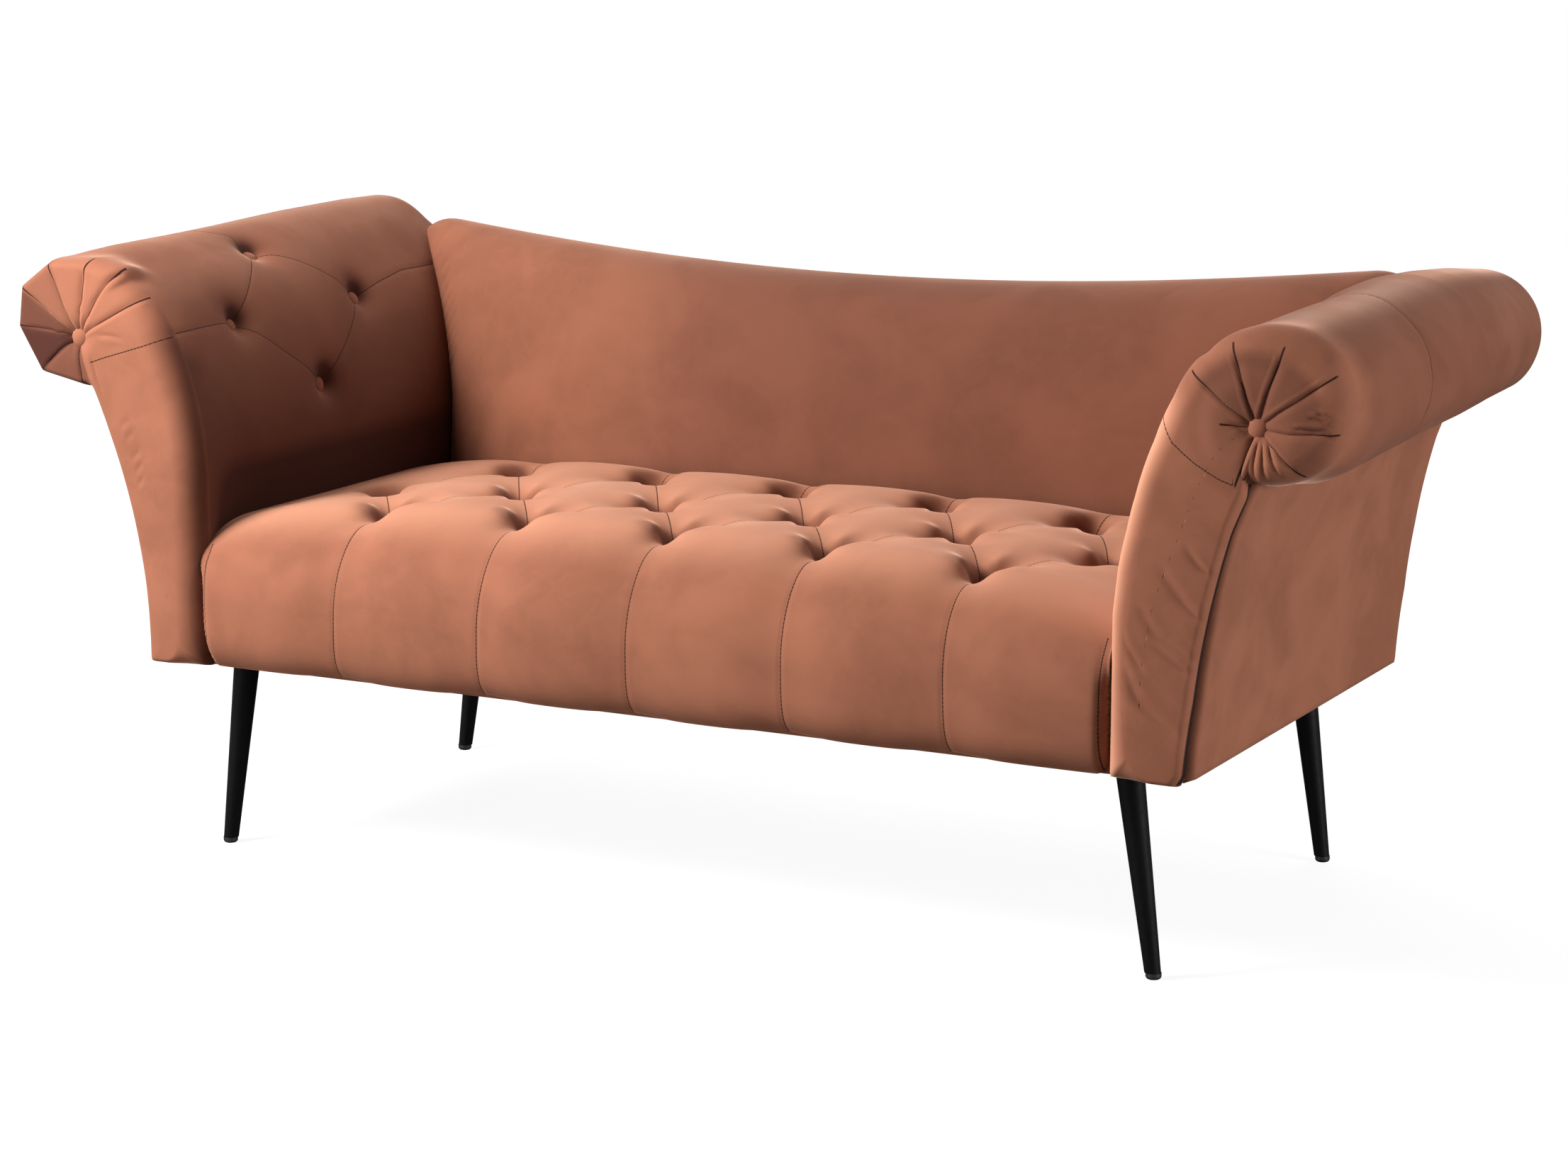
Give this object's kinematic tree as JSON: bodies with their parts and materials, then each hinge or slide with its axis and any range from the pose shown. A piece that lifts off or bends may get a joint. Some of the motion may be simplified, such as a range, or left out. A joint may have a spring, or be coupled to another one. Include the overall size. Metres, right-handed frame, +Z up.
{
  "type": "fainting couch",
  "caption": "Fainting couch with a deep-buttoned seat, a low dipped back, rolled scroll arms and splayed tapered legs.",
  "frame": {"origin": "on the floor under the centre of the couch", "axes": "+X is right as seen from the front, +Y points to the rear, +Z is up"},
  "size_m": [1.6298, 0.672, 0.702],
  "materials": {
    "velvet": "short-pile terracotta velvet",
    "velvet_panel": "short-pile terracotta velvet, stretched over a board",
    "velvet_button": "terracotta velvet over a button blank",
    "leg_black": "satin black powder coat",
    "glide_black": "matte black plastic",
    "steel": "zinc plated",
    "timber": "planed softwood",
    "plywood": "raw birch plywood",
    "hardboard": "brown hardboard and card tube",
    "webbing": "woven elastic webbing",
    "dust_cloth": "black non-woven cloth",
    "foam": "open-cell cushion foam"
  },
  "bodies": {
    "root": {"leg_front_left": "leg_black", "leg_front_right": "leg_black", "leg_rear_left": "leg_black", "leg_rear_right": "leg_black", "glide_front_left": "glide_black", "glide_front_right": "glide_black", "glide_rear_left": "glide_black", "glide_rear_right": "glide_black", "leg_plates": "steel", "leg_studs": "steel", "leg_plate_screws": "steel", "seat_rail_front": "timber", "seat_rail_rear": "timber", "seat_rail_left": "timber", "seat_rail_right": "timber", "corner_blocks": "timber", "webbing_long": "webbing", "webbing_cross": "webbing", "dust_cover": "dust_cloth", "seat_foam": "foam", "seat_pad": "velvet", "seat_buttons": "velvet_button", "back_posts": "timber", "back_lower_rail": "timber", "back_top_rail": "timber", "back_screws": "steel", "back_skin": "hardboard", "back_foam": "foam", "back_pad": "velvet", "back_panel": "velvet_panel", "arm_front_board_left": "plywood", "arm_front_board_right": "plywood", "arm_rear_board_left": "plywood", "arm_rear_board_right": "plywood", "arm_base_rail_left": "timber", "arm_base_rail_right": "timber", "arm_tack_rail_left": "timber", "arm_tack_rail_right": "timber", "arm_roll_tube_left": "hardboard", "arm_roll_tube_right": "hardboard", "arm_skin_left": "hardboard", "arm_skin_right": "hardboard", "arm_side_panel_left": "velvet_panel", "arm_side_panel_right": "velvet_panel", "arm_bolts_left": "steel", "arm_bolts_right": "steel", "arm_pad_left": "velvet", "arm_pad_right": "velvet", "arm_front_face_left": "velvet", "arm_front_face_right": "velvet", "arm_rear_face_left": "velvet", "arm_rear_face_right": "velvet", "arm_buttons_left": "velvet_button", "arm_buttons_right": "velvet_button", "scroll_button_left": "velvet_button", "scroll_button_right": "velvet_button"}
  },
  "joints": []
}
